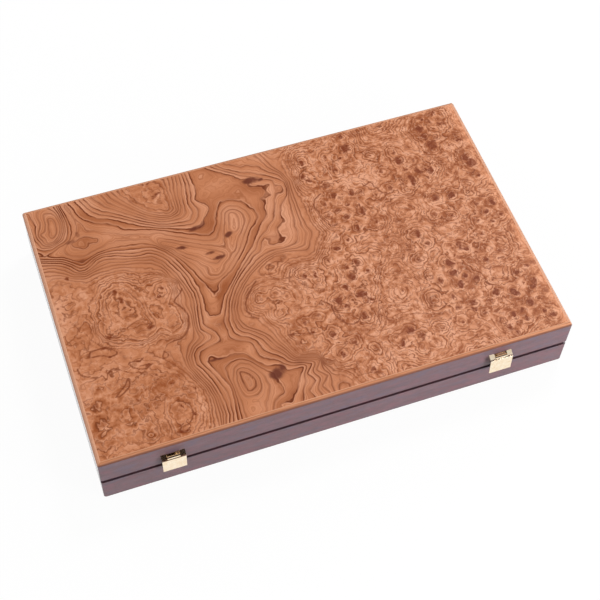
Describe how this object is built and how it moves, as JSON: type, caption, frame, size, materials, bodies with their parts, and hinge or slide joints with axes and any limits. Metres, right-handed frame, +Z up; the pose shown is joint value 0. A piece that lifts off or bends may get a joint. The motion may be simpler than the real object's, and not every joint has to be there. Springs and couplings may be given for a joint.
{
  "type": "backgammon set",
  "caption": "Folding wooden backgammon case with inlaid points, side racks, hinges, latches, playing pieces, dice and a doubling cube.",
  "frame": {"origin": "centre of the closed case's underside, midway between its outer walls", "axes": "+X along the case's length, -Y towards the latches, +Y towards the hinges, +Z up"},
  "size_m": [0.482, 0.3149, 0.07],
  "materials": {
    "burl_veneer": "gloss lacquered burl veneer",
    "edging_wood": "lacquered pale orange-brown wood",
    "dark_wood": "semi-gloss dark purplish brown wood",
    "panel_core": "sanded board",
    "field_veneer": "satin lacquered veneer",
    "dark_inlay": "satin lacquered dark veneer",
    "light_inlay": "satin lacquered light veneer",
    "brass": "polished",
    "brass_fixings": "polished",
    "light_piece": "lacquered light wood",
    "dark_piece": "lacquered dark wood",
    "dice": "polished, dark pips",
    "doubling_cube": "polished, dark numbers"
  },
  "bodies": {
    "base": {"base_back_wall": "dark_wood", "base_burl_veneer": "burl_veneer", "base_dark_points": "dark_inlay", "base_edging": "edging_wood", "base_field_board": "panel_core", "base_field_veneer": "field_veneer", "base_front_wall": "dark_wood", "base_hinge_screws": "brass_fixings", "base_left_wall": "dark_wood", "base_light_points": "light_inlay", "base_panel_board": "panel_core", "base_rack_divider": "dark_wood", "base_right_wall": "dark_wood", "latch_keeper_brads": "brass_fixings", "left_hinge_base_leaf": "brass", "left_hinge_pin": "brass", "left_latch_keeper": "brass", "rack_partitions": "dark_wood", "right_hinge_base_leaf": "brass", "right_hinge_pin": "brass", "right_latch_keeper": "brass"},
    "lid": {"lid_back_wall": "dark_wood", "lid_burl_veneer": "burl_veneer", "lid_dark_points": "dark_inlay", "lid_edging": "edging_wood", "lid_field_board": "panel_core", "lid_field_veneer": "field_veneer", "lid_front_wall": "dark_wood", "lid_hinge_screws": "brass_fixings", "lid_left_wall": "dark_wood", "lid_light_points": "light_inlay", "lid_panel_board": "panel_core", "lid_rack_divider": "dark_wood", "lid_right_wall": "dark_wood", "left_hinge_lid_leaf": "brass", "right_hinge_lid_leaf": "brass", "left_latch_bracket": "brass", "right_latch_bracket": "brass", "left_latch_pin": "brass", "right_latch_pin": "brass", "latch_bracket_brads": "brass_fixings"},
    "left_latch": {"left_latch_flap": "brass"},
    "right_latch": {"right_latch_flap": "brass"},
    "light_checkers": {"light_checkers": "light_piece"},
    "dark_checkers": {"dark_checkers": "dark_piece"},
    "die_1": {"die_1": "dice"},
    "die_2": {"die_2": "dice"},
    "doubling_cube": {"doubling_cube": "doubling_cube"}
  },
  "joints": [
    {"name": "lid_hinge", "type": "hinge", "parent": "base", "child": "lid", "pos_m": [0, 0.153, 0.035], "axis": [-1, 0, 0], "range_deg": [0, 180]},
    {"name": "left_latch_pivot", "type": "hinge", "parent": "lid", "child": "left_latch", "pos_m": [-0.1706, -0.1554, 0.0505], "axis": [-1, 0, 0], "range_deg": [0, 95]},
    {"name": "right_latch_pivot", "type": "hinge", "parent": "lid", "child": "right_latch", "pos_m": [0.1642, -0.1554, 0.0533], "axis": [-1, 0, 0], "range_deg": [0, 90]},
    {"name": "light_checkers_lift", "type": "slide", "parent": "base", "child": "light_checkers", "axis": [0, 0, 1], "range_m": [0, 0.018]},
    {"name": "dark_checkers_lift", "type": "slide", "parent": "base", "child": "dark_checkers", "axis": [0, 0, 1], "range_m": [0, 0.018]},
    {"name": "die_1_lift", "type": "slide", "parent": "base", "child": "die_1", "axis": [0, 0, 1], "range_m": [0, 0.018]},
    {"name": "die_2_lift", "type": "slide", "parent": "base", "child": "die_2", "axis": [0, 0, 1], "range_m": [0, 0.018]},
    {"name": "doubling_cube_lift", "type": "slide", "parent": "base", "child": "doubling_cube", "axis": [0, 0, 1], "range_m": [0, 0.018]}
  ]
}
